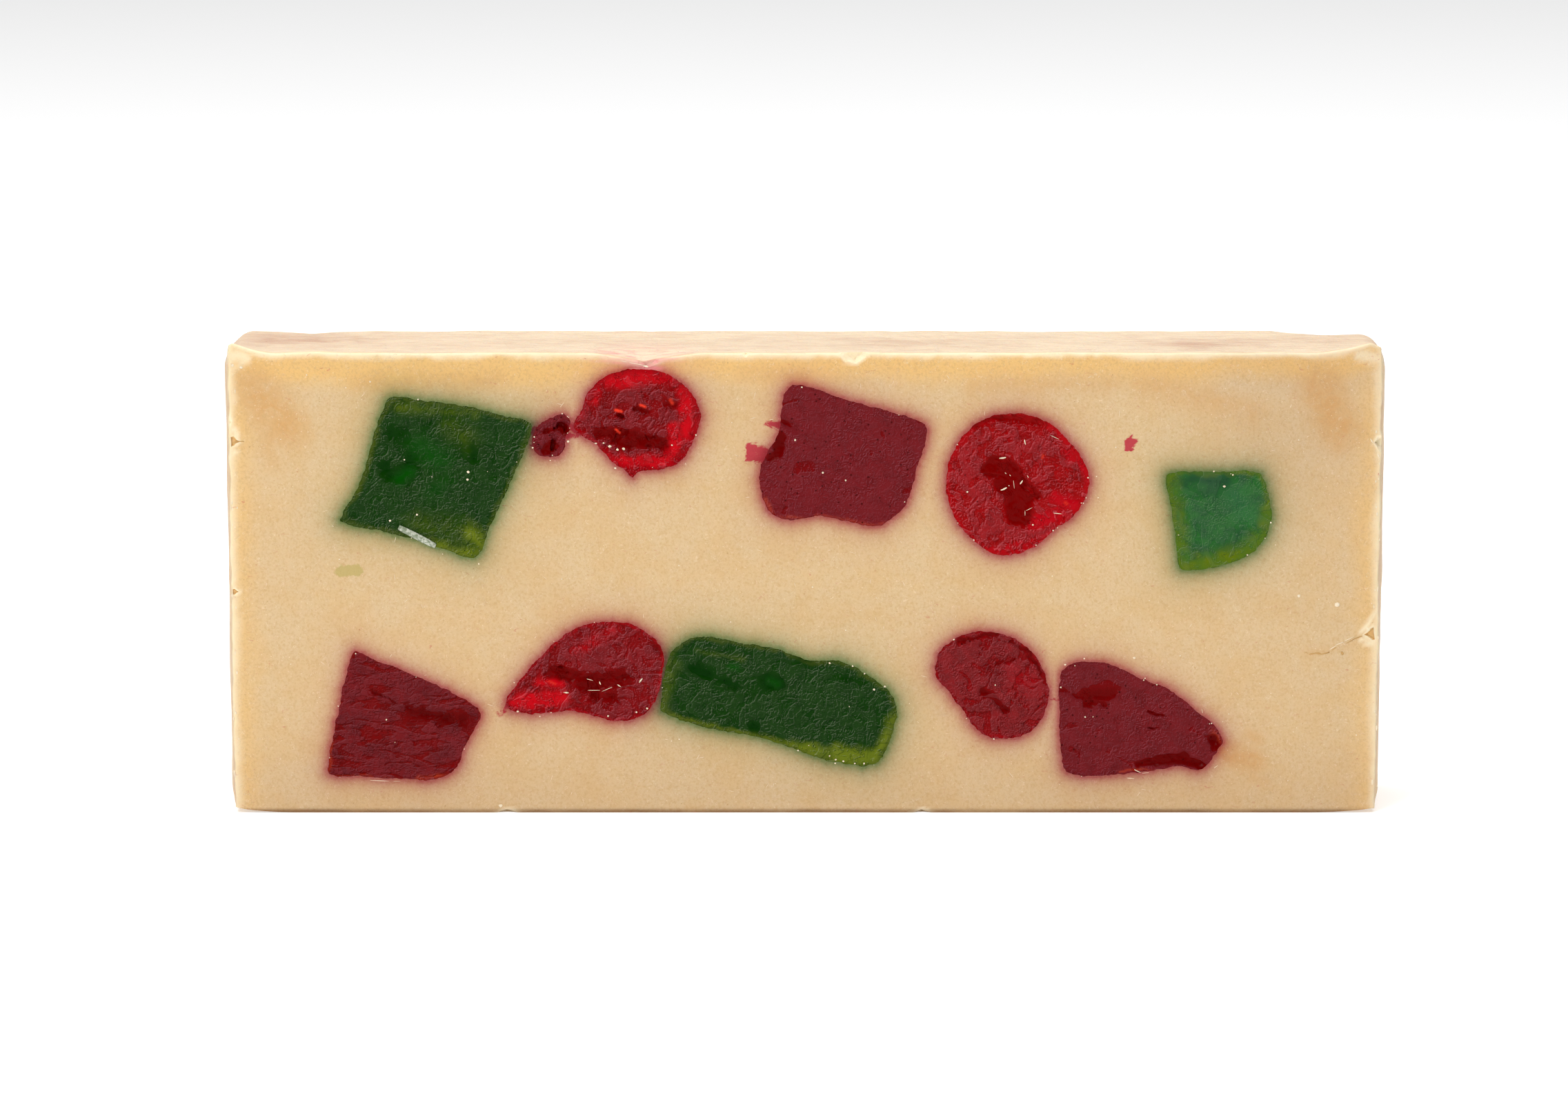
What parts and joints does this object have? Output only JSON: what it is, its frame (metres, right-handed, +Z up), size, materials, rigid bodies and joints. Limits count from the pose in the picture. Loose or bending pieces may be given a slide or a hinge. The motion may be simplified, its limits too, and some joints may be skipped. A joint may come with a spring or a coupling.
{
  "type": "nougat bar",
  "caption": "Cut bar of soft almond nougat with candied cherries and green and dark red candied fruit showing at both cut faces, standing on its long narrow side.",
  "frame": {"origin": "middle of the bar's underside, on the surface it stands on", "axes": "+X along the length, +Y through the thickness away from the cut face that the picture shows, +Z up"},
  "size_m": [0.1518, 0.022, 0.0618],
  "materials": {
    "nougat": "soft almond paste, matt, fine grained, a little translucent",
    "cherry": "wet candied cherry flesh, glossy and translucent",
    "dark_red_fruit": "dark red candied fruit, glossy with fine pores",
    "green_fruit": "green candied fruit, glossy, translucent and lighter at the rim"
  },
  "bodies": {
    "root": {"nougat_body": "nougat", "cherry_upper_left": "cherry", "cherry_upper_right": "cherry", "cherry_lower_left": "cherry", "cherry_lower_right": "cherry", "red_fruit_scrap": "dark_red_fruit", "red_cube_upper": "dark_red_fruit", "red_cube_lower": "dark_red_fruit", "red_fruit_wedge": "dark_red_fruit", "green_fruit_rhombus": "green_fruit", "green_fruit_small": "green_fruit", "green_fruit_bar": "green_fruit"}
  },
  "joints": []
}
